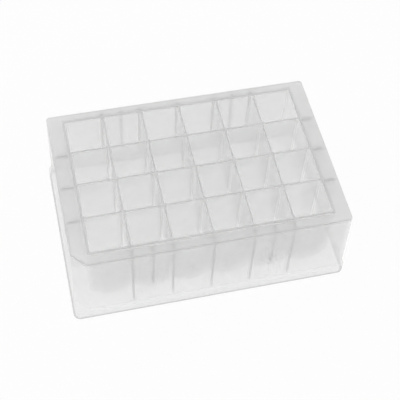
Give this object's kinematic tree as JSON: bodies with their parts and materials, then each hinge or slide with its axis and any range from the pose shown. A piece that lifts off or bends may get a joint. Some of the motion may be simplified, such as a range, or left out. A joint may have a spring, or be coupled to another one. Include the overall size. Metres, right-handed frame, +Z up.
{
  "type": "deep-well plate",
  "caption": "Frosted translucent plastic block of open square wells with rounded bottoms, in a drafted ribbed skirt with a cut corner and a stepped foot for stacking.",
  "frame": {"origin": "centre of the foot's underside, on the surface the plate stands on", "axes": "+Z up out of the wells, +X along the long side, +Y to the back; the cut corner is at -X, -Y"},
  "size_m": [0.1278, 0.0854, 0.044],
  "materials": {
    "polypropylene": "natural translucent polypropylene, injection moulded, frosted"
  },
  "bodies": {
    "root": {"foot_flange": "polypropylene", "skirt": "polypropylene", "top_deck": "polypropylene", "well_a1": "polypropylene", "well_a2": "polypropylene", "well_a3": "polypropylene", "well_a4": "polypropylene", "well_a5": "polypropylene", "well_a6": "polypropylene", "well_b1": "polypropylene", "well_b2": "polypropylene", "well_b3": "polypropylene", "well_b4": "polypropylene", "well_b5": "polypropylene", "well_b6": "polypropylene", "well_c1": "polypropylene", "well_c2": "polypropylene", "well_c3": "polypropylene", "well_c4": "polypropylene", "well_c5": "polypropylene", "well_c6": "polypropylene", "well_d1": "polypropylene", "well_d2": "polypropylene", "well_d3": "polypropylene", "well_d4": "polypropylene", "well_d5": "polypropylene", "well_d6": "polypropylene", "right_rib_1": "polypropylene", "right_rib_2": "polypropylene", "right_rib_3": "polypropylene", "back_rib_1": "polypropylene", "back_rib_2": "polypropylene", "back_rib_3": "polypropylene", "back_rib_4": "polypropylene", "back_rib_5": "polypropylene", "back_half_rib_1": "polypropylene", "back_half_rib_2": "polypropylene", "left_rib_1": "polypropylene", "left_rib_2": "polypropylene", "left_rib_3": "polypropylene", "front_rib_1": "polypropylene", "front_rib_2": "polypropylene", "front_rib_3": "polypropylene", "front_rib_4": "polypropylene", "front_rib_5": "polypropylene", "front_half_rib_1": "polypropylene", "front_half_rib_2": "polypropylene"}
  },
  "joints": []
}
